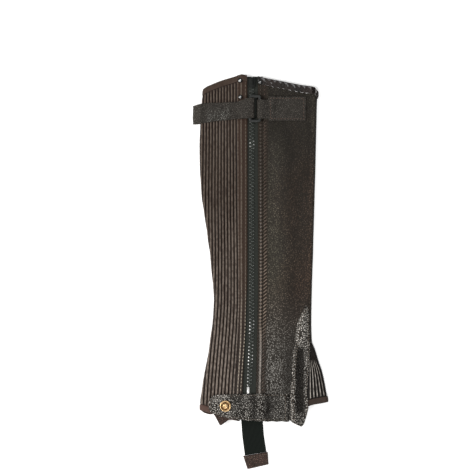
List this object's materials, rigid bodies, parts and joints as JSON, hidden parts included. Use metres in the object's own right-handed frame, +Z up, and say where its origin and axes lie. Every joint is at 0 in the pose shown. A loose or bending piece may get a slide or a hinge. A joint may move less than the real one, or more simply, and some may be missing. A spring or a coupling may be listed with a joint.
{
  "type": "half chap",
  "caption": "Leather riding half chap laid flat, with a zip, a ribbed stretch back, a ribbed instep gusset, buckled top strap, snap tab and stirrup elastic.",
  "frame": {"origin": "middle of the bounding box, on the floor that it lies on", "axes": "+X from the back fold towards the front fold, +Y from the foot towards the knee, +Z up from the floor through the two layers"},
  "size_m": [0.1629, 0.4744, 0.0142],
  "materials": {
    "leather": "fine grained dark brown leather",
    "coarse_leather": "coarse grained dark brown leather",
    "shiny_leather": "shiny wrinkled dark brown leather",
    "stretch": "ribbed brown stretch cloth",
    "binding": "smooth reddish brown binding",
    "zip_tape": "black woven tape",
    "elastic": "black woven elastic",
    "black_plastic": "black moulded plastic",
    "brass": "aged brass",
    "dark_metal": "glossy dark metal",
    "bright_metal": "bright metal"
  },
  "bodies": {
    "root": {"leather_body": "leather", "stretch_back": "stretch", "gusset": "stretch", "seam_piping": "binding", "leather_top_binding": "shiny_leather", "stretch_top_binding": "binding", "stretch_hem_binding": "binding", "gusset_binding": "binding", "zip_tape_back": "zip_tape", "zip_tape_front": "zip_tape", "zip_chain": "black_plastic", "zip_pin": "bright_metal", "zip_box": "black_plastic", "zip_slider": "black_plastic", "top_strap": "leather", "strap_ring": "black_plastic", "ring_tab": "leather", "toe_patch": "coarse_leather", "closure_tab": "coarse_leather", "snap_base": "leather", "snap_cap": "brass", "rivet_1": "dark_metal", "rivet_2": "dark_metal", "rivet_3": "dark_metal", "stirrup_elastic": "elastic", "stirrup_tip": "leather", "anchor_patch": "leather"}
  },
  "joints": []
}
